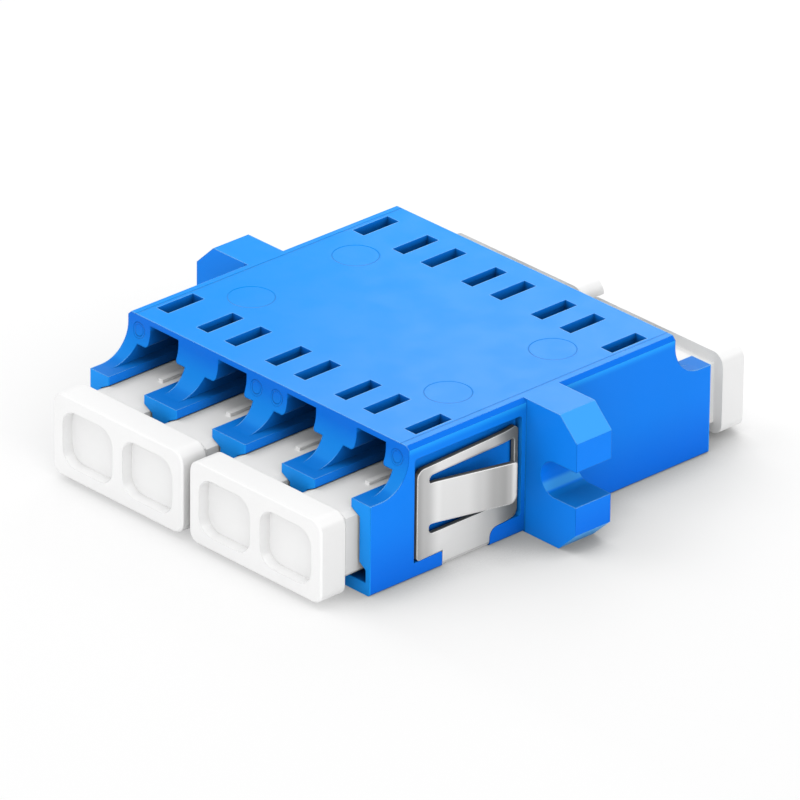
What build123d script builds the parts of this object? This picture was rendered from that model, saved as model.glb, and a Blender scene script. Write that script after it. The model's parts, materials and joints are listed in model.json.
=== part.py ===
from build123d import *
import os

# Flanged fibre optic adapter block with push-in dust caps, in millimetres.
# The origin is the middle of the block in plan, on its underside.
# +X runs along the row of ports, +Y along the fibres from front to back, +Z is up.

# Block
block_width = 25.50
block_length = 29.02
block_height = 9.16
roof_length = 22.68
shelf_height = 6.15
scoop_radius = 2.25
roof_edge_chamfer = 0.27
foot_edge_radius = 0.18

# Ports, as seen from an end of the block
port_pitch = 6.25
pair_pitch = 12.55
port_axis_height = 3.15
port_width = 4.80
port_floor = 0.83
port_shoulder_height = 5.15
lip_gap = 3.30
lip_thickness = 0.60
latch_space_width = 4.40
latch_space_top = 7.29
channel_width = 2.60
channel_corner = 0.25
roof_thickness = 0.41
centre_wall = 2.40

# Foot slots beside the outermost ports
foot_slot_width = 0.57
foot_slot_height = 0.89
foot_slot_rise = 0.36
foot_slot_corner = 0.15
foot_slot_depth = 2.50

# Latch windows through the roof, two over each port
window_inset = 1.316
window_width = 1.046
window_length = 3.03
window_start = 6.81

# Flange ears
flange_width = 34.50
flange_thickness = 3.00
top_chamfer_width = 1.54
top_chamfer_height = 1.49
bottom_chamfer_width = 1.42
bottom_chamfer_height = 1.37
notch_width = 2.40
notch_height = 4.52
notch_depth = 3.10

# Sleeves and the barrels that hold them
ferrule_bore = 1.249
sleeve_wall = 0.186
sleeve_length = 6.80
sleeve_slot = 0.35
sleeve_clearance = 0.04
sleeve_end_play = 0.05
barrel_wall = 0.60
barrel_lip = 0.95
barrel_throat = 1.46
barrel_mouth = 2.10
spigot_width = 2.80
holder_flange_width = 4.20
holder_flange_height = 3.80
holder_flange_thickness = 0.80
holder_clearance = 0.02
lead_in_overrun = 0.20

# Spring clip, folded from one strip
strip = 0.30
strip_bend = 0.08
plate_front = -10.60
plate_back = -1.90
plate_front_bottom = 1.06
plate_back_bottom = 1.28
plate_front_top = 7.22
plate_back_top = 7.50
plate_front_corner = 0.60
plate_back_corner = 0.50
plate_foot_corner = 0.25
plate_hook_start = -3.80
plate_hook_radius = 6.90
plate_hook_angle = 17.0
clip_window_front = -9.60
clip_window_back = -2.28
clip_window_corner = 0.32
slot_under_tongue = 0.65
slot_over_tongue = 0.55
slot_over_tongue_rise = 0.14
tab_front = -8.40
tab_back = -4.45
tongue_height = 2.80
tongue_centre_height = 4.65
tongue_root = 0.20
tongue_root_corner = 0.18
tongue_angle = 14.5
tongue_bend_radius = 1.50
tongue_straight = 5.17
tongue_curl_angle = 12.0
tongue_curl_radius = 2.45
tongue_top_corner = 0.20
tongue_bottom_corner = 0.60

# Recess in each side of the block that takes the clip
recess_depth = 0.60
recess_top = 8.10
recess_front_gap = 0.23
recess_back_gap = 0.09
recess_bottom_gap = 0.03
recess_corner = 0.25
tab_gap = 0.04
tab_front_corner = 0.15
tab_back_corner = 0.65

# Dust caps, one for each pair of ports, with the gap between two neighbours
cap_gap = 0.62
cap_bottom = 0.38
cap_top = 6.05
cap_outer_face = 18.08
cap_plate_thickness = 1.98
cap_top_corner = 0.90
cap_bottom_corner = 0.80
cap_edge_chamfer = 0.12
plinth_depth = 0.65
plinth_inset = 0.75
pocket_pitch = 5.51
pocket_width = 4.60
pocket_height = 3.85
pocket_corner = 1.15
pocket_depth = 0.80
plug_side_clearance = 0.23
plug_bottom_clearance = 0.27
plug_lip_clearance = 0.08
plug_end = 5.00
plug_corner = 0.30
plug_shoulder_width = 0.50
plug_shoulder_height = 0.25
plug_hole = 2.00
plug_hole_depth = 6.00
rib_width = 0.40
rib_height = 0.20
rib_start = 11.65

# Worked out from the sizes above
half_length = block_length / 2
half_width = block_width / 2
roof_end = roof_length / 2
scoop_centre = roof_end + scoop_radius
scoop_axis_height = shelf_height + scoop_radius
lip_bottom = shelf_height - lip_thickness
channel_top = block_height - roof_thickness
wall_face = centre_wall / 2
sleeve_diameter = ferrule_bore + 2 * sleeve_wall
barrel_bore = sleeve_diameter + 2 * sleeve_clearance
barrel_diameter = barrel_bore + 2 * barrel_wall
barrel_step = sleeve_length / 2 + sleeve_end_play
barrel_end = barrel_step + barrel_lip
recess_floor = half_width - recess_depth
tongue_bottom = tongue_centre_height - tongue_height / 2
tongue_top = tongue_centre_height + tongue_height / 2
clip_window_bottom = tongue_bottom - slot_under_tongue
clip_window_front_top = tongue_top + slot_over_tongue
clip_window_back_top = clip_window_front_top + slot_over_tongue_rise
cap_width = pair_pitch - cap_gap
plug_width = port_width - 2 * plug_side_clearance
plug_bottom = port_floor + plug_bottom_clearance
plug_top = lip_bottom - plug_lip_clearance
cap_middle = (cap_top + cap_bottom) / 2
cap_height = cap_top - cap_bottom
plate_inner_face = cap_outer_face - cap_plate_thickness
plinth_face = plate_inner_face - plinth_depth
beyond = 1.0

pair_centres = [-pair_pitch / 2, pair_pitch / 2]
port_centres = [pair + side * port_pitch / 2 for pair in pair_centres for side in (-1, 1)]


def along_front(section, start, end):
    """A section drawn in X and Z, run towards the front from one distance to another."""
    return extrude(Plane.XZ.offset(start) * section, amount=end - start)


def both_ends(shape):
    """The shape and its mirror image at the back of the block."""
    return shape + mirror(shape, about=Plane.XZ)


def both_sides(shape):
    """The shape and its mirror image on the left of the block."""
    return shape + mirror(shape, about=Plane.YZ)


def round_corner(face, point, radius):
    """The face with its corner nearest to the point rounded."""
    return fillet(face.vertices().sort_by_distance((*point, 0))[0], radius)


def four_sided(*corners):
    """A flat face with four straight sides."""
    return make_face(Polyline(*corners, close=True))


def block():
    """The solid block with scooped ends, before any port is cut."""
    half = Polyline(
        (0, 0),
        (half_length, 0),
        (half_length, shelf_height),
        (scoop_centre, shelf_height),
    )
    half += CenterArc((scoop_centre, scoop_axis_height), scoop_radius, 270, -90)
    half += Polyline((roof_end, scoop_axis_height), (roof_end, block_height), (0, block_height))
    profile = make_face(half + mirror(half, about=Plane.YZ))
    solid = extrude(Plane.YZ * profile, amount=half_width, both=True)
    long_edges = solid.edges().filter_by(Axis.Y)
    solid = chamfer(long_edges.group_by(Axis.Z)[-1], roof_edge_chamfer)
    solid = fillet(solid.edges().filter_by(Axis.Y).group_by(Axis.Z)[0], foot_edge_radius)
    return solid


def port_section():
    """One port as seen from the end: body, lips, latch space and latch channel."""
    half = Polyline(
        (0, channel_top),
        (channel_width / 2, channel_top),
        (channel_width / 2, latch_space_top),
        (latch_space_width / 2, latch_space_top),
        (port_width / 2, shelf_height),
        (lip_gap / 2, shelf_height),
        (lip_gap / 2, lip_bottom),
        (port_width / 2, port_shoulder_height),
        (port_width / 2, port_floor),
        (0, port_floor),
    )
    section = make_face(half + mirror(half, about=Plane.YZ))
    for side in (-1, 1):
        section = round_corner(section, (side * channel_width / 2, latch_space_top), channel_corner)
    return section


def foot_slot():
    """The low slot beside the outermost port, which flares out from the port's side wall."""
    side = port_centres[-1] + port_width / 2
    slot_top = port_floor + foot_slot_height
    upper = slot_top + foot_slot_rise
    outline = Polyline(
        (side - beyond, port_floor),
        (side + foot_slot_width, port_floor),
        (side + foot_slot_width, slot_top),
        (side, upper),
        (side, upper + beyond),
        (side - beyond, upper + beyond),
        close=True,
    )
    section = round_corner(make_face(outline), (side + foot_slot_width, slot_top), foot_slot_corner)
    section = round_corner(section, (side, upper), foot_slot_corner)
    return along_front(section, half_length - foot_slot_depth, half_length + beyond)


def latch_window(centre, side):
    """One window through the roof, beside a latch channel."""
    middle = centre + side * (window_inset + window_width / 2)
    height = block_height - latch_space_top
    place = Pos(middle, -(window_start + window_length / 2), block_height)
    return place * Box(window_width, window_length, 2 * height)


def flange():
    """The two ears, one plate across the middle of the block, with a notch in each end."""
    half = flange_width / 2
    outline = Polyline(
        (0, 0),
        (half - bottom_chamfer_width, 0),
        (half, bottom_chamfer_height),
        (half, block_height - top_chamfer_height),
        (half - top_chamfer_width, block_height),
        (0, block_height),
    )
    plate = make_face(outline + mirror(outline, about=Plane.YZ))
    round_centre = half - notch_depth + notch_width / 2
    notch = Pos(round_centre, notch_height) * Circle(notch_width / 2)
    notch += Pos(round_centre + half / 2, notch_height) * Rectangle(half, notch_width)
    plate -= notch + mirror(notch, about=Plane.YZ)
    return extrude(Plane.XZ * plate, amount=flange_thickness / 2, both=True)


def clip_recess():
    """The recess in the right side of the block, with its way down for the clip's tab."""
    front = plate_front - recess_front_gap
    back = plate_back + recess_back_gap
    front_bottom = plate_front_bottom - recess_bottom_gap
    back_bottom = plate_back_bottom - recess_bottom_gap
    face = four_sided((front, front_bottom), (back, back_bottom), (back, recess_top), (front, recess_top))
    tab_middle = (tab_front + tab_back) / 2
    tab_width = tab_back - tab_front + 2 * tab_gap
    face += Pos(tab_middle, 0) * Rectangle(tab_width, 2 * back_bottom)
    face = round_corner(face, (tab_front - tab_gap, front_bottom), tab_front_corner)
    face = round_corner(face, (tab_back + tab_gap, back_bottom), tab_back_corner)
    for corner in ((front, recess_top), (back, recess_top), (back, back_bottom)):
        face = round_corner(face, corner, recess_corner)
    return extrude(Plane.YZ.offset(recess_floor) * face, amount=recess_depth + beyond)


def strap_groove():
    """The groove across the underside that takes the strap between the clip's two sides."""
    length = tab_back - tab_front + 2 * tab_gap
    return Pos(0, (tab_front + tab_back) / 2, 0) * Box(block_width + beyond, length, 2 * strip)


def barrel(outer, start, end):
    """A round tube blank on the axis of a port, towards the front."""
    return along_front(Pos(0, port_axis_height) * Circle(outer / 2), start, end)


def square_stud(width, start, end):
    """A square stud on the axis of a port, towards the front."""
    return along_front(Pos(0, port_axis_height) * Rectangle(width, width), start, end)


def lead_in():
    """The cone that guides a ferrule through a barrel's lip, from the lip's edge out to its mouth."""
    length = barrel_end - barrel_step
    slope = (barrel_mouth - barrel_throat) / 2 / length
    cone = Cone(
        barrel_throat / 2 - slope * lead_in_overrun,
        barrel_mouth / 2 + slope * lead_in_overrun,
        length + 2 * lead_in_overrun,
    )
    return Pos(0, -(barrel_step + barrel_end) / 2, port_axis_height) * Rot(90, 0, 0) * cone


def housing():
    """The moulded block with its ports, windows, ears, clip recesses and front barrels."""
    body = block() + flange()
    for centre in port_centres:
        port = along_front(port_section(), wall_face, half_length + beyond)
        body -= Pos(centre, 0, 0) * both_ends(port)
        for side in (-1, 1):
            body -= both_ends(latch_window(centre, side))
        body += Pos(centre, 0, 0) * barrel(barrel_diameter, 0, barrel_end)
        body -= Pos(centre, 0, 0) * lead_in()
        body -= Pos(centre, 0, 0) * barrel(barrel_bore, -beyond, barrel_step)
        body -= Pos(centre, 0, 0) * square_stud(spigot_width, -wall_face - beyond, 0)
    body -= both_ends(both_sides(foot_slot()))
    body -= both_sides(clip_recess())
    body -= strap_groove()
    return body


def sleeve_holder():
    """A barrel insert from the back: square spigot in the centre wall, flange and lipped barrel."""
    insert = square_stud(spigot_width - 2 * holder_clearance, 0, wall_face)
    flange_face = Pos(0, port_axis_height) * Rectangle(holder_flange_width, holder_flange_height)
    insert += along_front(flange_face, wall_face, wall_face + holder_flange_thickness)
    insert += barrel(barrel_diameter, wall_face, barrel_end)
    insert -= barrel(barrel_bore, -beyond, barrel_step)
    insert -= lead_in()
    return mirror(insert, about=Plane.XZ)


def sleeve():
    """A split sleeve: a thin tube with one slot along its upper side."""
    ring = Circle(sleeve_diameter / 2) - Circle(ferrule_bore / 2)
    ring -= Pos(0, sleeve_diameter / 2) * Rectangle(sleeve_slot, sleeve_diameter)
    section = Pos(0, port_axis_height) * ring
    return along_front(section, -sleeve_length / 2, sleeve_length / 2)


def clip_window():
    """The opening in the clip's side, round the root of the tongue."""
    opening = four_sided(
        (clip_window_front, clip_window_bottom),
        (clip_window_back, clip_window_bottom),
        (clip_window_back, clip_window_back_top),
        (clip_window_front, clip_window_front_top),
    )
    opening = fillet(opening.vertices(), clip_window_corner)
    opening -= Pos(clip_window_front, tongue_centre_height) * Rectangle(2 * tongue_root, tongue_height)
    for tongue_edge in (tongue_bottom, tongue_top):
        opening = round_corner(opening, (clip_window_front, tongue_edge), tongue_root_corner)
    return opening


def clip_plate():
    """The flat side of the clip, curved in towards the block at the ear, with its window."""
    middle = half_width - strip / 2
    flat = Line((middle, plate_front), (middle, plate_hook_start))
    hook = JernArc(flat @ 1, flat % 1, plate_hook_radius, plate_hook_angle)
    sheet = extrude(trace(flat + hook, strip), amount=block_height)
    outline = four_sided(
        (plate_front, plate_front_bottom),
        (plate_back, plate_back_bottom),
        (plate_back, plate_back_top),
        (plate_front, plate_front_top),
    )
    outline = round_corner(outline, (plate_front, plate_front_top), plate_front_corner)
    outline = round_corner(outline, (plate_front, plate_front_bottom), plate_foot_corner)
    outline = round_corner(outline, (plate_back, plate_back_top), plate_back_corner)
    outline = round_corner(outline, (plate_back, plate_back_bottom), plate_back_corner)
    outline -= clip_window()
    return sheet & extrude(Plane.YZ * outline, amount=flange_width)


def clip_tongue():
    """The tongue that bows out of the window and holds the block in a panel."""
    middle = half_width - strip / 2
    start = clip_window_front - tongue_root
    root = Line((middle, start), (middle, clip_window_front + tongue_root))
    bend = JernArc(root @ 1, root % 1, tongue_bend_radius, -tongue_angle)
    rise = PolarLine(bend @ 1, tongue_straight, direction=bend % 1)
    curl = JernArc(rise @ 1, rise % 1, tongue_curl_radius, tongue_curl_angle)
    sheet = extrude(trace(root + bend + rise + curl, strip), amount=block_height)
    tip = (curl @ 1).Y
    outline = Pos((start + tip) / 2, tongue_centre_height) * Rectangle(tip - start, tongue_height)
    outline = round_corner(outline, (tip, tongue_top), tongue_top_corner)
    outline = round_corner(outline, (tip, tongue_bottom), tongue_bottom_corner)
    return sheet & extrude(Plane.YZ * outline, amount=flange_width)


def spring_clip():
    """One folded strip: two sides with tongues, joined by the strap under the block."""
    middle = half_width - strip / 2
    leg_top = plate_back_bottom + strip
    path = FilletPolyline(
        (-middle, leg_top),
        (-middle, strip / 2),
        (middle, strip / 2),
        (middle, leg_top),
        radius=strip_bend + strip / 2,
    )
    folded = along_front(trace(path, strip), -tab_back, -tab_front)
    return folded + both_sides(clip_plate() + clip_tongue())


def cap_plate():
    """The plate of a cap, with rounded corners and an eased rim."""
    outline = Pos(0, cap_middle) * Rectangle(cap_width, cap_height)
    outline = fillet(outline.vertices().group_by(Axis.Y)[-1], cap_top_corner)
    outline = fillet(outline.vertices().group_by(Axis.Y)[0], cap_bottom_corner)
    plate = along_front(outline, plate_inner_face, cap_outer_face)
    outer_rim = plate.faces().sort_by(Axis.Y)[0].edges()
    return chamfer(outer_rim, cap_edge_chamfer)


def cap_plug():
    """One plug of a cap, with a rib on top and a round hollow in its end."""
    side = plug_width / 2
    half = Polyline(
        (0, plug_bottom),
        (side - plug_corner, plug_bottom),
        (side, plug_bottom + plug_corner),
        (side, plug_top - plug_shoulder_height),
        (side - plug_shoulder_width, plug_top),
        (0, plug_top),
    )
    outline = make_face(half + mirror(half, about=Plane.YZ))
    plug = along_front(outline, plug_end, plinth_face)
    rib_length = rib_start - plug_end
    rib_place = Pos(0, -(plug_end + rib_length / 2), plug_top)
    plug += rib_place * Box(rib_width, rib_length, 2 * rib_height)
    plug -= barrel(plug_hole, plug_end - beyond, plug_end + plug_hole_depth)
    return plug


def dust_cap():
    """A cap over a pair of ports at the front: pocketed plate, plinth and two plugs."""
    pocket = along_front(
        Pos(0, cap_middle) * RectangleRounded(pocket_width, pocket_height, pocket_corner),
        cap_outer_face - pocket_depth,
        cap_outer_face + beyond,
    )
    plinth_outline = Rectangle(cap_width - 2 * plinth_inset, cap_height - 2 * plinth_inset)
    cap = cap_plate() + along_front(Pos(0, cap_middle) * plinth_outline, plinth_face, plate_inner_face)
    for side in (-1, 1):
        cap -= Pos(side * pocket_pitch / 2, 0, 0) * pocket
        cap += Pos(side * port_pitch / 2, 0, 0) * cap_plug()
    return cap


def write(shape, node):
    """One STEP file for one piece."""
    export_step(shape, f"parts/{node}.step")


os.makedirs("parts", exist_ok=True)

write(housing(), "housing")
write(spring_clip(), "spring_clip")

one_sleeve = sleeve()
one_holder = sleeve_holder()
for number, centre in enumerate(port_centres, start=1):
    write(Pos(centre, 0, 0) * one_sleeve, f"sleeve_{number}")
    write(Pos(centre, 0, 0) * one_holder, f"sleeve_holder_{number}")

front_cap = dust_cap()
back_cap = mirror(front_cap, about=Plane.XZ)
for pair, side in zip(pair_centres, ("left", "right")):
    write(Pos(pair, 0, 0) * front_cap, f"cap_front_{side}")
    write(Pos(pair, 0, 0) * back_cap, f"cap_back_{side}")
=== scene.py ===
import json
import math

import bmesh
import bpy
from mathutils import Matrix, Vector


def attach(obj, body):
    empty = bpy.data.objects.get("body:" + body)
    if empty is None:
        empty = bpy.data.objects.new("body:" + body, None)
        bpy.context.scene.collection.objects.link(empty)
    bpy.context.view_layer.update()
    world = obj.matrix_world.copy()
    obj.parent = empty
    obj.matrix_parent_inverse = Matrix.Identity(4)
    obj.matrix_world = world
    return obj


MM = 0.001

# Camera, solved from the photograph: where it stands in millimetres, and where it looks in degrees
CAMERA_PLACE = (427.23, -405.39, 298.98)
CAMERA_AZIMUTH = 46.506
CAMERA_ELEVATION = 26.619
CAMERA_ROLL = 0.642
CAMERA_LENS = 475.75
CAMERA_SENSOR = 36.0
CAMERA_CLIP = (0.01, 20.0)

# Marks in the blue moulding, in millimetres from the middle planes and above the underside
MARK_DEPTH = 0.08
MARK_ROOF = 9.1
MARK_ENDS = 11.3
EJECTOR_PLACE = (8.93, 4.45)
EJECTOR_RADIUS = 1.50
EJECTOR_SOFT = 0.12
INSERT_LINE = 12.03
INSERT_LINE_HALF = (0.02, 0.06)
PORT_MARK_PLACES = (0.92, 11.72)
PORT_MARK_HEIGHT = 8.13
PORT_MARK_RADIUS = 0.52
PORT_MARK_WIDTH = 0.14
PORT_MARK_SOFT = 0.06

# Colours of the blue moulding, linear. Apart from the base blue, its flow and the gloss, they are painted
# light and shade
BLUE = (0.004, 0.205, 0.86)
# Painted light on the top faces, with a painted sheen that grows towards +X
BLUE_ROOF_PAINTED_SHEEN = ((0.001, 0.290, 0.92), (0.036, 0.305, 0.93))
# Painted light and shade on the scoops that look out: darker near the top, lighter lower down
BLUE_SCOOP_PAINTED_SHADING = ((0.008, 0.235, 0.80), (0.003, 0.175, 0.82))
# Painted shade on the shelves, the low faces that look up
BLUE_SHELF_PAINTED_SHADE = (0.003, 0.190, 0.72)
# Painted light on the ears' faces that look out along the ports
BLUE_EAR_PAINTED_LIGHT = (0.006, 0.250, 1.0)
# Painted light on the ears' faces that look down, near the bottom
BLUE_UNDER_EAR_PAINTED_LIGHT = (0.08, 0.44, 1.0)
# Painted light inside the ears' notches
BLUE_NOTCH_PAINTED_LIGHT = (0.001, 0.200, 1.0)
# Painted highlight on the ears' slanted chamfers
BLUE_CHAMFER_PAINTED_HIGHLIGHT = (0.05, 0.37, 1.0)
# Painted shade on the roof's slanted band along the sides
BLUE_BAND_PAINTED_SHADE = (0.003, 0.175, 0.84)
# Painted highlight on the sides just under the roof's edge
BLUE_UNDER_ROOF_PAINTED_HIGHLIGHT = (0.016, 0.350, 1.0)
# Painted shade on the sides, deeper towards the bottom
BLUE_LOW_PAINTED_SHADE = (0.002, 0.145, 0.80)
# Painted light on the outer ends
BLUE_END_PAINTED_LIGHT = (0.012, 0.320, 1.0)
# Painted shade inside the ports and where surfaces stand close together
BLUE_PAINTED_RECESS_SHADE = (0.001, 0.050, 0.22)
# Painted highlight along edges that look up, and painted shade along the other edges
BLUE_PAINTED_EDGE_HIGHLIGHT = (0.28, 0.64, 1.0)
BLUE_PAINTED_EDGE_SHADE = (0.002, 0.110, 0.55)
BLUE_GLOSS = (0.20, 1.0, 1.0)
# Bounced and mirrored light sees this dim grey in place of the blue: it keeps cavities darker and shade grey
BLUE_BOUNCE = (0.10, 0.13, 0.17)
BLUE_FLOW = 1.05

# How strong some of those painted shades are at most
LOW_STRENGTH = 0.85
PORT_STRENGTH = 0.92
OUTER_DEPTH_STRENGTH = 0.25
LINE_STRENGTH = 0.7

# Parts of a face's normal between which one of those colours comes in or goes out. Outward is along the
# ports, away from the middle of the block
FACING_SIDE = (0.85, 0.95)
FACING_SLANT_FROM = (0.35, 0.60)
FACING_SLANT_TO = (0.80, 0.90)
FACING_ROOF = (0.82, 0.95)
FACING_SHELF = (0.85, 0.95)
FACING_SCOOP = (0.15, 0.50)
FACING_EAR = (0.85, 0.95)
FACING_NOTCH = (0.2, 0.5)
FACING_UNDER_EAR = (-0.6, -0.4)
FACING_UNDERSIDE = (-0.95, -0.85)
FACING_PORT = (0.15, 0.40)
FACING_EDGE = (0.50, 0.62)

# Places in millimetres between which it comes in or goes out: distances across (X) and along the ports (Y)
# from the middle planes, and heights (Z) above the underside
X_ROOF = (-13.0, 13.0)
X_BODY = (12.80, 12.90)
X_BAND = (12.40, 12.45)
X_UNDER_ROOF = (12.66, 12.70)
X_NOTCH = (17.10, 17.20)
X_PORT = (11.90, 12.05)
Y_END = (14.40, 14.48)
Y_PORT = (10.2, 13.4)
Z_LOW = (0.0, 5.0)
Z_UNDER_EAR = (1.5, 1.7)
Z_NOTCH_FROM = (1.6, 1.8)
Z_NOTCH_TO = (7.2, 7.4)
Z_SHELF = (6.3, 6.9)
Z_SCOOP = (7.0, 8.8)
Z_PORT = (8.3, 8.6)
Z_UNDER_ROOF = (8.4, 8.9)
Z_BAND = (8.80, 8.85)
Z_ROOF = (8.8, 9.0)

# Openness, from 0 where a point is closed in to 1 where it lies free: how far it looks, in millimetres, and
# the values between which a colour or the floor's glow comes in. Where points are closed in, those colours are
# painted shade and a painted shadow on the floor; where they lie free, painted lines along the blue's edges
# come in
OPENNESS_SAMPLES = 8
BLUE_REACH = 4.0
BLUE_CLOSED = (0.05, 0.50)
BLUE_FREE = (0.70, 0.90)
WHITE_REACH = 1.0
WHITE_CLOSED = (0.2, 0.75)
FLOOR_REACH = 5.0
FLOOR_CLOSED = (0.40, 0.80)
FLOOR_FREE = (0.45, 0.90)

# White moulding and ceramic
WHITE = (0.92, 0.92, 0.92)
# Painted shade on the faces that look across, along X
WHITE_SIDE_PAINTED_SHADE = (0.79, 0.79, 0.79)
# Painted shade in narrow gaps, on faces that do not look along the ports
WHITE_GAP_PAINTED_SHADE = (0.71, 0.71, 0.70)
WHITE_FLOW = 0.98
WHITE_FACING_SIDE = (0.75, 0.95)
WHITE_FACING_END = (0.85, 0.98)
CERAMIC = (0.86, 0.84, 0.78)
CERAMIC_FLOW = 0.96

# Spring steel. Its grain squeezes the noise across and along, so that it makes lines. Cut edges are dark above
# a height, a painted shade, and those that look to the front are painted light; what stands proud of the plate
# is the tongue. Each shade is pairs of a place in millimetres and a strength: painted reflections in bands
# along the plate and the tongue, and a painted shade line at the fold. The edge colour is a painted highlight
STEEL = (0.89, 0.89, 0.89)
STEEL_CUT_PAINTED_SHADE = (0.30, 0.30, 0.31)
STEEL_FRONT_CUT_PAINTED_LIGHT = (0.95, 0.92, 0.90)
STEEL_PAINTED_EDGE_HIGHLIGHT = (1.0, 1.0, 1.0)
STEEL_FLOW = 0.97
STEEL_GRAIN = (0.3, 0.15)
STEEL_FACING_CUT = (0.3, 0.6)
STEEL_FACING_FRONT = (-0.9, -0.7)
STEEL_FACING_OUT = (0.6, 0.9)
STEEL_CUT_HEIGHT = 0.5
STEEL_PROUD = (12.80, 12.92)
PLATE_PAINTED_REFLECTION = ((-10.6, 0.48), (-9.9, 0.66), (-8.6, 1.0), (-6.0, 1.0), (-4.6, 0.92), (-2.0, 0.58))
TONGUE_PAINTED_REFLECTION = (
    (-9.0, 0.90), (-7.0, 0.87), (-6.0, 0.71), (-5.0, 0.50), (-4.4, 0.45), (-4.05, 0.56), (-3.7, 1.0),
)
FOLD_PAINTED_SHADE = ((0.0, 1.0), (0.22, 1.0), (0.28, 0.74), (0.36, 1.0))

# Edges: the radius they are rounded by in millimetres, and the cosines of the rounded normal's turn from the
# face's own between which the painted highlight and shade lines along edges fade out
BEVEL_SAMPLES = 6
BLUE_SOFT_EDGE = 0.09
BLUE_LINE_EDGE = 0.16
BLUE_LINE_TURN = (0.80, 0.97)
WHITE_SOFT_EDGE = 0.06
STEEL_SOFT_EDGE = 0.15
STEEL_LINE_TURN = (0.92, 0.998)
CERAMIC_SOFT_EDGE = 0.02

# Noise: its waves to a millimetre, the depth of its relief in millimetres, and the middle range that is used
BLUE_FLOW_WAVES = 0.12
BLUE_PATCH_WAVES = 0.5
BLUE_GRAIN_WAVES = 14.0
WHITE_FLOW_WAVES = 0.2
WHITE_PATCH_WAVES = 0.6
WHITE_GRAIN_WAVES = 10.0
STEEL_LINE_WAVES = 2.2
CERAMIC_CLOUD_WAVES = 1.5
CERAMIC_GRAIN_WAVES = 30.0
MOULDED_DEPTH = 0.0016
POLISHED_DEPTH = 0.0005
FLOW_RANGE = (0.3, 0.7)
PATCH_RANGE = (0.25, 0.75)

# Gloss
BLUE_ROUGHNESS = (0.36, 0.46)
BLUE_SPECULAR = 0.13
WHITE_ROUGHNESS = (0.42, 0.52)
PLASTIC_IOR = 1.46
STEEL_ROUGHNESS = (0.38, 0.44)
STEEL_METALLIC = 0.8
CERAMIC_ROUGHNESS = 0.12
CERAMIC_IOR = 2.1

# The clip's inner corner between tab and plate, in millimetres: edges, round, lap under the steel around it,
# and how far out the steel's two faces are
TAB_EDGE = -4.45
PLATE_EDGE = 1.225
CORNER_RADIUS = 0.61
CORNER_LAP = 0.12
CORNER_STEPS = 12
CORNER_DEPTH = (12.46, 12.753)

# Floor. The glow is stronger in front of the part, where the photograph is white
# The deep floor colour is a painted shadow near the part; less glow there deepens it, more in front lightens
# shadows
FLOOR = (0.93, 0.93, 0.93)
FLOOR_PAINTED_SHADOW = (0.66, 0.66, 0.66)
FLOOR_SIZE = 4.0
FLOOR_HEIGHT = -0.02 * MM
FLOOR_GLOW = 0.35
FLOOR_GLOW_CLOSED = 0.1
FLOOR_GLOW_FRONT = 0.70
Y_FLOOR_FRONT = (-20.0, -12.0)

# Area lights, in metres and watts: name, place, what it is aimed at, size and power
LIGHTS = (
    ("key", (-0.55, -0.35, 0.85), (0, 0, 0), 0.6, 2.0),
    ("fill", (1.0, -0.45, 0.45), (0, 0, 0), 1.0, 4.3),
    ("sheen", (-0.036, 0.055, 0.050), (0.022, 0, 0.009), 0.04, 0.012),
)
SKY_STRENGTH = 0.80

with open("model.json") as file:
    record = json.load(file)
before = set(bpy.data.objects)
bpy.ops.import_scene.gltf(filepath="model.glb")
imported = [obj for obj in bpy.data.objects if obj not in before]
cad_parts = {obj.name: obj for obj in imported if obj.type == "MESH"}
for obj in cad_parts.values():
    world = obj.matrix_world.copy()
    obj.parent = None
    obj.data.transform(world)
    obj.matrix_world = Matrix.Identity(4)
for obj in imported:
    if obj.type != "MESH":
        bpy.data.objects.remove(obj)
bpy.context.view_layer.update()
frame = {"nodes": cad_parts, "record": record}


def scaled(colour, factor):
    """A colour made lighter or darker as a whole."""
    return tuple(channel * factor for channel in colour)


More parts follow.
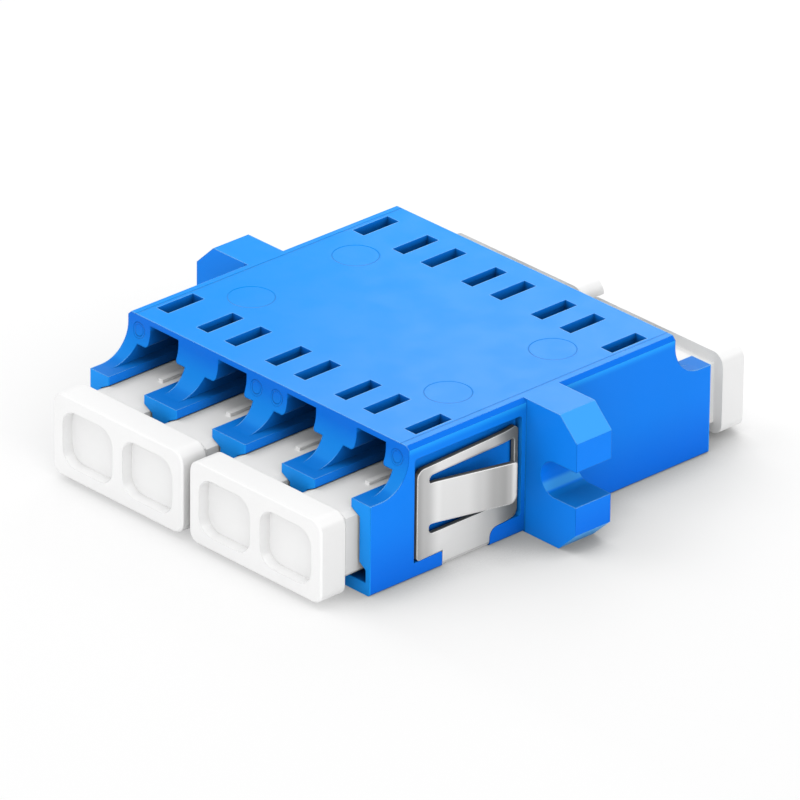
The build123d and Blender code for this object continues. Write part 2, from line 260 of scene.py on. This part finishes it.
class Graph:
    """A material's node tree, with short calls to add nodes and join them."""

    def __init__(self, name):
        self.material = bpy.data.materials.new(name)
        self.material.use_nodes = True
        self.nodes = self.material.node_tree.nodes
        self.links = self.material.node_tree.links
        self.shader = self.nodes["Principled BSDF"]

    def put(self, socket, value):
        """Sets a socket to a value, or joins it to another node's output."""
        if isinstance(value, bpy.types.NodeSocket):
            self.links.new(value, socket)
        else:
            socket.default_value = value

    def add(self, kind, output=0, settings=None, **inputs):
        """Adds a node, sets its inputs by name, and returns one of its outputs."""
        node = self.nodes.new(kind)
        for name, value in (settings or {}).items():
            setattr(node, name, value)
        for name, value in inputs.items():
            self.put(node.inputs[name.replace("_", " ")], value)
        return node.outputs[output]

    def math(self, operation, first, second=0.0):
        """One arithmetic step on values."""
        node = self.nodes.new("ShaderNodeMath")
        node.operation = operation
        self.put(node.inputs[0], first)
        self.put(node.inputs[1], second)
        return node.outputs[0]

    def all_of(self, first, *others):
        """The product of several values from 0 to 1."""
        for other in others:
            first = self.math("MULTIPLY", first, other)
        return first

    def either(self, first, second):
        """The larger of two values."""
        return self.math("MAXIMUM", first, second)

    def place(self):
        """The point on the surface in millimetres, in the object's own frame."""
        node = self.nodes.new("ShaderNodeVectorMath")
        node.operation = "SCALE"
        self.links.new(self.add("ShaderNodeTexCoord", output="Object"), node.inputs[0])
        node.inputs["Scale"].default_value = 1 / MM
        return node.outputs[0]

    def normal(self):
        """The face's own direction."""
        return self.add("ShaderNodeNewGeometry", output="Normal")

    def ray(self, kind):
        """One of the values that tell what kind of ray looks at the surface."""
        return self.add("ShaderNodeLightPath", output=kind)

    def split(self, vector):
        """The three parts of a vector."""
        node = self.nodes.new("ShaderNodeSeparateXYZ")
        self.links.new(vector, node.inputs[0])
        return node.outputs

    def noise(self, point, scale, detail=2.0, roughness=0.5):
        """Smooth noise from 0 to 1, with so many waves to a millimetre."""
        return self.add("ShaderNodeTexNoise", Vector=point, Scale=scale, Detail=detail, Roughness=roughness)

    def remap(self, value, low, high, to_low, to_high):
        """A value carried smoothly from one range to another."""
        return self.add(
            "ShaderNodeMapRange",
            settings={"interpolation_type": "SMOOTHSTEP"},
            Value=value,
            From_Min=low,
            From_Max=high,
            To_Min=to_low,
            To_Max=to_high,
        )

    def rise(self, value, span, top=1.0):
        """0 below a span of the value, and up to 1 or another top above it."""
        return self.remap(value, *span, 0.0, top)

    def fall(self, value, span=(0.0, 1.0), top=1.0, bottom=0.0):
        """1 or another top below a span of the value, and down to 0 or another bottom above it."""
        return self.remap(value, *span, top, bottom)

    def tint(self, amount, first, second, blend_type="MIX"):
        """A colour between two others, or blended from them in another way."""
        node = self.nodes.new("ShaderNodeMix")
        node.data_type = "RGBA"
        node.blend_type = blend_type
        self.put(node.inputs["Factor"], amount)
        for socket, colour in ((node.inputs[6], first), (node.inputs[7], second)):
            self.put(socket, colour if isinstance(colour, bpy.types.NodeSocket) else (*colour, 1))
        return node.outputs[2]

    def shade(self, colour, place, steps):
        """A colour that is lighter or darker from place to place, through pairs of a place and a strength."""
        low, high = steps[0][0], steps[-1][0]
        node = self.nodes.new("ShaderNodeValToRGB")
        node.color_ramp.interpolation = "EASE"
        stops = node.color_ramp.elements
        for step, (at, strength) in enumerate(steps):
            spot = (at - low) / (high - low)
            stop = stops[step] if step < 2 else stops.new(spot)
            stop.position = spot
            stop.color = (strength, strength, strength, 1)
        reach = self.add("ShaderNodeMapRange", Value=place, From_Min=low, From_Max=high)
        self.links.new(reach, node.inputs[0])
        return self.tint(1.0, colour, node.outputs[0], "MULTIPLY")

    def relief(self, height, depth, below):
        """A normal that follows a height from 0 to 1, with its depth in millimetres."""
        return self.add("ShaderNodeBump", Height=height, Distance=depth * MM, Normal=below)

    def soft_edge(self, radius):
        """A normal that rounds every edge by a radius in millimetres."""
        return self.add("ShaderNodeBevel", settings={"samples": BEVEL_SAMPLES}, Radius=radius * MM)

    def openness(self, reach):
        """How open a point is to its surroundings within a reach in millimetres, from 0 to 1."""
        return self.add(
            "ShaderNodeAmbientOcclusion",
            output="AO",
            settings={"samples": OPENNESS_SAMPLES},
            Distance=reach * MM,
        )

    def sharp_edge(self, rounded, turn):
        """1 along an edge, where the rounded normal leaves the face's own, and 0 on the faces."""
        node = self.nodes.new("ShaderNodeVectorMath")
        node.operation = "DOT_PRODUCT"
        self.links.new(rounded, node.inputs[0])
        self.links.new(self.normal(), node.inputs[1])
        return self.fall(node.outputs["Value"], turn)

    def blend(self, amount, first, second):
        """One shader between two others."""
        mix = self.add("ShaderNodeMixShader", Fac=amount)
        self.links.new(first, mix.node.inputs[1])
        self.links.new(second, mix.node.inputs[2])
        return mix

    def finish(self, **inputs):
        """Puts the last values into the shader and returns the material."""
        for name, value in inputs.items():
            self.put(self.shader.inputs[name.replace("_", " ")], value)
        return self.material


def disc(graph, x, y, centre, radius, soft):
    """A value that goes from 1 inside a circle to 0 outside it, over a soft width."""
    across = graph.math("SUBTRACT", x, centre[0])
    along = graph.math("SUBTRACT", y, centre[1])
    squares = graph.math("ADD", graph.math("MULTIPLY", across, across), graph.math("MULTIPLY", along, along))
    return graph.fall(graph.math("SQRT", squares), (radius - soft / 2, radius + soft / 2))


def moulding_marks(graph, at):
    """Height of the marks that the mould leaves: ejector discs, insert lines and rings beside the ports."""
    ejector = disc(graph, at.wide, at.long, EJECTOR_PLACE, EJECTOR_RADIUS, EJECTOR_SOFT)
    from_line = graph.math("ABSOLUTE", graph.math("SUBTRACT", at.wide, INSERT_LINE))
    on_roof = graph.either(ejector, graph.fall(from_line, INSERT_LINE_HALF))
    on_ends = 0.0
    for place in PORT_MARK_PLACES:
        outer, inner = (
            disc(graph, at.wide, at.z, (place, PORT_MARK_HEIGHT), radius, PORT_MARK_SOFT)
            for radius in (PORT_MARK_RADIUS, PORT_MARK_RADIUS - PORT_MARK_WIDTH)
        )
        on_ends = graph.either(graph.math("SUBTRACT", outer, inner), on_ends)
    marks = graph.either(
        graph.all_of(graph.math("GREATER_THAN", at.z, MARK_ROOF), on_roof),
        graph.all_of(graph.math("GREATER_THAN", at.long, MARK_ENDS), on_ends),
    )
    return graph.math("SUBTRACT", 1.0, marks)


class Spot:
    """Where a point of the blue moulding is and which way it faces, as values in its node tree."""

    def __init__(self, graph, point):
        self.facing = graph.split(graph.normal())
        self.x, self.y, self.z = graph.split(point)
        self.wide = graph.math("ABSOLUTE", self.x)
        self.long = graph.math("ABSOLUTE", self.y)
        self.outward = graph.math("MULTIPLY", self.facing[1], graph.math("SIGN", self.y))
        self.side = graph.rise(graph.math("ABSOLUTE", self.facing[0]), FACING_SIDE)
        self.slanted = graph.all_of(
            graph.rise(self.facing[2], FACING_SLANT_FROM), graph.fall(self.facing[2], FACING_SLANT_TO)
        )
        self.end = graph.rise(self.long, Y_END)
        self.body = graph.fall(self.wide, X_BODY)
        self.ear = graph.fall(self.body)


def painted_blue_face_shading(graph, at, colour):
    """Painted light and shade on the blue, face by face, where soft studio light would light or shade those
    faces.
    """
    low = graph.all_of(at.side, graph.fall(at.z, Z_LOW, top=LOW_STRENGTH))
    under_roof = graph.all_of(at.side, graph.rise(at.wide, X_UNDER_ROOF), graph.rise(at.z, Z_UNDER_ROOF))
    band = graph.all_of(at.slanted, graph.rise(at.wide, X_BAND), graph.rise(at.z, Z_BAND))
    scoop = graph.all_of(at.body, graph.rise(at.outward, FACING_SCOOP))
    ear = graph.all_of(at.ear, graph.rise(at.outward, FACING_EAR))
    notch = graph.all_of(
        at.ear,
        graph.fall(graph.math("ABSOLUTE", at.facing[1]), FACING_NOTCH),
        graph.fall(at.wide, X_NOTCH),
        graph.rise(at.z, Z_NOTCH_FROM),
        graph.fall(at.z, Z_NOTCH_TO),
    )
    under_ear = graph.all_of(
        at.ear, graph.fall(at.facing[2], FACING_UNDER_EAR), graph.fall(at.z, Z_UNDER_EAR)
    )
    shelf = graph.all_of(graph.rise(at.facing[2], FACING_SHELF), graph.fall(at.z, Z_SHELF))
    roof = graph.all_of(graph.rise(at.facing[2], FACING_ROOF), graph.rise(at.z, Z_ROOF))
    chamfer = graph.all_of(at.slanted, at.ear)
    # Each of these tints is painted light or shade on one group of faces
    for amount, blue in (
        (low, BLUE_LOW_PAINTED_SHADE),
        (under_roof, BLUE_UNDER_ROOF_PAINTED_HIGHLIGHT),
        (band, BLUE_BAND_PAINTED_SHADE),
        (scoop, graph.tint(graph.rise(at.z, Z_SCOOP), *BLUE_SCOOP_PAINTED_SHADING)),
        (ear, BLUE_EAR_PAINTED_LIGHT),
        (notch, BLUE_NOTCH_PAINTED_LIGHT),
        (under_ear, BLUE_UNDER_EAR_PAINTED_LIGHT),
        (at.end, BLUE_END_PAINTED_LIGHT),
        (shelf, BLUE_SHELF_PAINTED_SHADE),
        (roof, graph.tint(graph.rise(at.x, X_ROOF), *BLUE_ROOF_PAINTED_SHEEN)),
        (chamfer, BLUE_CHAMFER_PAINTED_HIGHLIGHT),
    ):
        colour = graph.tint(amount, colour, blue)
    return colour


def painted_blue_recess_shade(graph, at, openness, colour):
    """Painted shade: a deep blue inside the ports, deeper further in, and where surfaces stand close together,
    but not on the underside.
    """
    port = graph.all_of(
        graph.fall(at.long, Y_PORT, top=PORT_STRENGTH),
        graph.fall(at.outward, FACING_PORT),
        graph.fall(at.wide, X_PORT),
        graph.fall(at.z, Z_PORT),
    )
    closed = graph.all_of(
        graph.fall(openness, BLUE_CLOSED),
        graph.fall(graph.either(at.end, at.ear), bottom=OUTER_DEPTH_STRENGTH),
        graph.rise(at.facing[2], FACING_UNDERSIDE),
    )
    return graph.tint(graph.either(closed, port), colour, BLUE_PAINTED_RECESS_SHADE)


def painted_blue_edge_lines(graph, openness, colour):
    """Painted highlight lines along edges that look up and painted shade lines along the others, where they
    lie free.
    """
    rounded = graph.soft_edge(BLUE_LINE_EDGE)
    edge = graph.all_of(graph.sharp_edge(rounded, BLUE_LINE_TURN), graph.rise(openness, BLUE_FREE))
    upward = graph.rise(graph.split(rounded)[2], FACING_EDGE)
    colour = graph.tint(graph.all_of(edge, upward), colour, BLUE_PAINTED_EDGE_HIGHLIGHT)
    return graph.tint(graph.all_of(edge, graph.fall(upward, top=LINE_STRENGTH)), colour, BLUE_PAINTED_EDGE_SHADE)


def blue_moulding():
    """Bright blue engineering plastic: satin, faint flow and painted light and shade in the colour, fine
    grain, softened edges.
    """
    graph = Graph("blue_moulding")
    point = graph.place()
    at = Spot(graph, point)
    openness = graph.openness(BLUE_REACH)
    flow = graph.noise(point, BLUE_FLOW_WAVES, detail=3.0)
    colour = graph.tint(graph.rise(flow, FLOW_RANGE), BLUE, scaled(BLUE, BLUE_FLOW))
    colour = painted_blue_face_shading(graph, at, colour)
    colour = painted_blue_recess_shade(graph, at, openness, colour)
    colour = painted_blue_edge_lines(graph, openness, colour)
    # Stand-in for bounced light: diffuse and mirror rays see a dim grey in place of the blue
    bounce = graph.either(graph.ray("Is Diffuse Ray"), graph.ray("Is Glossy Ray"))
    colour = graph.tint(bounce, colour, BLUE_BOUNCE)
    grain = graph.noise(point, BLUE_GRAIN_WAVES, detail=3.0, roughness=0.6)
    normal = graph.relief(grain, MOULDED_DEPTH, graph.soft_edge(BLUE_SOFT_EDGE))
    return graph.finish(
        Base_Color=colour,
        Roughness=graph.remap(graph.noise(point, BLUE_PATCH_WAVES), *PATCH_RANGE, *BLUE_ROUGHNESS),
        Normal=graph.relief(moulding_marks(graph, at), MARK_DEPTH, normal),
        IOR=PLASTIC_IOR,
        Specular_IOR_Level=BLUE_SPECULAR,
        Specular_Tint=(*BLUE_GLOSS, 1),
    )


def white_moulding():
    """Soft white plastic of the dust caps: satin, with painted shade on faces that look across and in narrow
    gaps, and a fine grain.
    """
    graph = Graph("white_moulding")
    point = graph.place()
    facing = graph.split(graph.normal())
    flow = graph.noise(point, WHITE_FLOW_WAVES, detail=3.0)
    colour = graph.tint(graph.rise(flow, FLOW_RANGE), WHITE, scaled(WHITE, WHITE_FLOW))
    # Painted shade on the faces that look across
    side = graph.rise(graph.math("ABSOLUTE", facing[0]), WHITE_FACING_SIDE)
    colour = graph.tint(side, colour, WHITE_SIDE_PAINTED_SHADE)
    # Painted shade where faces stand close together
    closed = graph.all_of(
        graph.fall(graph.openness(WHITE_REACH), WHITE_CLOSED),
        graph.fall(graph.math("ABSOLUTE", facing[1]), WHITE_FACING_END),
    )
    grain = graph.noise(point, WHITE_GRAIN_WAVES, detail=3.0, roughness=0.6)
    return graph.finish(
        Base_Color=graph.tint(closed, colour, WHITE_GAP_PAINTED_SHADE),
        Roughness=graph.remap(graph.noise(point, WHITE_PATCH_WAVES), *PATCH_RANGE, *WHITE_ROUGHNESS),
        Normal=graph.relief(grain, MOULDED_DEPTH, graph.soft_edge(WHITE_SOFT_EDGE)),
        IOR=PLASTIC_IOR,
    )


def spring_steel(name="spring_steel", edges=True):
    """Satin stainless sheet: painted reflections in soft bands, painted shade at the fold and on cut edges,
    painted light on cut edges that look to the front, and painted highlight lines along rounded edges.
    """
    graph = Graph(name)
    point = graph.place()
    x, y, z = graph.split(point)
    facing = graph.split(graph.normal())
    outward = graph.math("ABSOLUTE", facing[0])
    across, along = (graph.math("MULTIPLY", value, grain) for value, grain in zip((x, y), STEEL_GRAIN))
    stretched = graph.add("ShaderNodeCombineXYZ", X=across, Y=along, Z=z)
    lines = graph.noise(stretched, STEEL_LINE_WAVES, detail=4.0, roughness=0.6)
    colour = graph.tint(lines, scaled(STEEL, STEEL_FLOW), STEEL)
    # Painted shade on cut edges above the fold, and painted light on faces that look to the front
    above_fold = graph.math("GREATER_THAN", z, STEEL_CUT_HEIGHT)
    cut = graph.all_of(graph.fall(outward, STEEL_FACING_CUT), above_fold)
    colour = graph.tint(cut, colour, STEEL_CUT_PAINTED_SHADE)
    colour = graph.tint(graph.fall(facing[1], STEEL_FACING_FRONT), colour, STEEL_FRONT_CUT_PAINTED_LIGHT)
    # Painted reflections in bands along the plate and the tongue, and a painted shade line at the fold
    plate = graph.shade(graph.shade(colour, y, PLATE_PAINTED_REFLECTION), z, FOLD_PAINTED_SHADE)
    tongue = graph.shade(colour, y, TONGUE_PAINTED_REFLECTION)
    colour = graph.tint(graph.rise(graph.math("ABSOLUTE", x), STEEL_PROUD), plate, tongue)
    rounded = graph.normal()
    # Painted highlight lines along rounded edges
    if edges:
        rounded = graph.soft_edge(STEEL_SOFT_EDGE)
        edge = graph.all_of(graph.sharp_edge(rounded, STEEL_LINE_TURN), graph.rise(outward, STEEL_FACING_OUT))
        colour = graph.tint(edge, colour, STEEL_PAINTED_EDGE_HIGHLIGHT)
    return graph.finish(
        Base_Color=colour,
        Metallic=STEEL_METALLIC,
        Roughness=graph.remap(lines, *FLOW_RANGE, *STEEL_ROUGHNESS),
        Normal=graph.relief(lines, POLISHED_DEPTH, rounded),
    )


def ceramic():
    """Polished off-white ceramic of the split sleeves."""
    graph = Graph("ceramic")
    point = graph.place()
    cloud = graph.noise(point, CERAMIC_CLOUD_WAVES)
    grain = graph.noise(point, CERAMIC_GRAIN_WAVES)
    return graph.finish(
        Base_Color=graph.tint(cloud, CERAMIC, scaled(CERAMIC, CERAMIC_FLOW)),
        Roughness=CERAMIC_ROUGHNESS,
        Normal=graph.relief(grain, POLISHED_DEPTH, graph.soft_edge(CERAMIC_SOFT_EDGE)),
        IOR=CERAMIC_IOR,
    )


def dress(materials):
    """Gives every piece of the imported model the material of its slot."""
    for part in frame["record"]["subparts"]:
        piece = frame["nodes"][part["node"]]
        piece.data.materials.clear()
        piece.data.materials.append(materials[part["material_slot"]])


def clip_corner(name, side):
    """Fills the clip's inner corner between the tab and the plate, on one side, to a round."""
    middle = (TAB_EDGE + CORNER_RADIUS, PLATE_EDGE - CORNER_RADIUS)
    outline = [(TAB_EDGE - CORNER_LAP, PLATE_EDGE + CORNER_LAP), (middle[0], PLATE_EDGE + CORNER_LAP)]
    for step in range(CORNER_STEPS + 1):
        angle = math.pi / 2 * (1 + step / CORNER_STEPS)
        outline.append(tuple(
            centre + CORNER_RADIUS * turn for centre, turn in zip(middle, (math.cos(angle), math.sin(angle)))
        ))
    outline.append((TAB_EDGE - CORNER_LAP, middle[1]))
    mesh = bpy.data.meshes.new(name)
    shape = bmesh.new()
    inner, outer = (
        [shape.verts.new((side * x * MM, y * MM, z * MM)) for y, z in outline] for x in CORNER_DEPTH
    )
    shape.faces.new(inner)
    shape.faces.new(outer[::-1])
    for step in range(len(outline)):
        after = (step + 1) % len(outline)
        shape.faces.new((inner[step], outer[step], outer[after], inner[after]))
    bmesh.ops.recalc_face_normals(shape, faces=shape.faces)
    shape.to_mesh(mesh)
    shape.free()
    piece = bpy.data.objects.new(name, mesh)
    bpy.context.collection.objects.link(piece)
    return piece


def clip_corners():
    """The two round corners, in steel without the painted highlight lines along its edges, on the block."""
    steel = spring_steel("spring_steel_corner", edges=False)
    for name, side in (("clip_corner_left", -1), ("clip_corner_right", 1)):
        corner = clip_corner(name, side)
        corner.data.materials.append(steel)
        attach(corner, "block")


def floor():
    """A plain pale floor that keeps the object's shadow and glows a little for the camera and in the steel;
    its darker colour near the part is a painted shadow, and its glow, weaker near the part and stronger in
    front, paints shade and light over the shadows.

    It is clear from beneath, and for rays that start at the part's underside, just above it."""
    bpy.ops.mesh.primitive_plane_add(size=FLOOR_SIZE, location=(0, 0, FLOOR_HEIGHT))
    ground = bpy.context.object
    ground.name = "floor"
    graph = Graph("floor")
    openness = graph.openness(FLOOR_REACH)
    # Painted shadow: darker where the floor is closed in near the part
    colour = graph.tint(graph.fall(openness, FLOOR_CLOSED), FLOOR, FLOOR_PAINTED_SHADOW)
    ground.data.materials.append(graph.finish(Base_Color=colour, Roughness=1.0, Specular_IOR_Level=0.0))
    seen = graph.either(graph.ray("Is Camera Ray"), graph.ray("Is Glossy Ray"))
    # The glow paints light: more in front lightens the shadows, less near the part deepens them
    front = graph.fall(graph.split(graph.place())[1], Y_FLOOR_FRONT, top=FLOOR_GLOW_FRONT)
    around = graph.remap(openness, *FLOOR_FREE, FLOOR_GLOW_CLOSED * FLOOR_GLOW, FLOOR_GLOW)
    glow = graph.add("ShaderNodeEmission", Strength=1.0)
    lit = graph.blend(graph.all_of(seen, graph.either(front, around)), graph.shader.outputs[0], glow)
    close = graph.math("LESS_THAN", graph.ray("Ray Length"), -2 * FLOOR_HEIGHT)
    under = graph.either(close, graph.add("ShaderNodeNewGeometry", output="Backfacing"))
    clear = graph.blend(under, lit, graph.add("ShaderNodeBsdfTransparent"))
    graph.links.new(clear, graph.nodes["Material Output"].inputs["Surface"])


def lights():
    """Soft square lights: a key from the front left, a broad fill, and a close panel behind for the sheen."""
    for name, place, target, size, power in LIGHTS:
        data = bpy.data.lights.new(name, "AREA")
        data.shape = "SQUARE"
        data.size = size
        data.energy = power
        light = bpy.data.objects.new(name, data)
        light.location = place
        light.rotation_euler = (Vector(target) - Vector(place)).to_track_quat("-Z", "Y").to_euler()
        light.visible_camera = False
        bpy.context.collection.objects.link(light)


def sky():
    """An even white surround, a little weaker as a light than as it is seen and mirrored."""
    world = bpy.data.worlds.new("surround")
    bpy.context.scene.world = world
    world.use_nodes = True
    nodes = world.node_tree.nodes
    links = world.node_tree.links
    path = nodes.new("ShaderNodeLightPath")
    strength = nodes.new("ShaderNodeMapRange")
    seen = path.outputs["Is Camera Ray"]
    for kind in ("Is Glossy Ray", "Is Transmission Ray"):
        either = nodes.new("ShaderNodeMath")
        either.operation = "MAXIMUM"
        links.new(seen, either.inputs[0])
        links.new(path.outputs[kind], either.inputs[1])
        seen = either.outputs[0]
    links.new(seen, strength.inputs["Value"])
    strength.inputs["To Min"].default_value = SKY_STRENGTH
    strength.inputs["To Max"].default_value = 1.0
    background = nodes["Background"]
    background.inputs["Color"].default_value = (1, 1, 1, 1)
    links.new(strength.outputs[0], background.inputs["Strength"])


def camera():
    """The photograph's camera."""
    data = bpy.data.cameras.new("camera")
    data.lens = CAMERA_LENS
    data.sensor_width = CAMERA_SENSOR
    data.clip_start, data.clip_end = CAMERA_CLIP
    view = bpy.data.objects.new("camera", data)
    turn = Matrix.Rotation(math.radians(CAMERA_AZIMUTH), 4, "Z")
    turn @= Matrix.Rotation(math.pi / 2 - math.radians(CAMERA_ELEVATION), 4, "X")
    turn @= Matrix.Rotation(math.radians(CAMERA_ROLL), 4, "Z")
    view.matrix_world = Matrix.Translation(Vector(CAMERA_PLACE) * MM) @ turn
    bpy.context.collection.objects.link(view)
    bpy.context.scene.camera = view


dress({
    "blue_moulding": blue_moulding(),
    "white_moulding": white_moulding(),
    "spring_steel": spring_steel(),
    "ceramic": ceramic(),
})
clip_corners()
floor()
lights()
sky()
camera()
bpy.context.scene.view_settings.view_transform = "Standard"
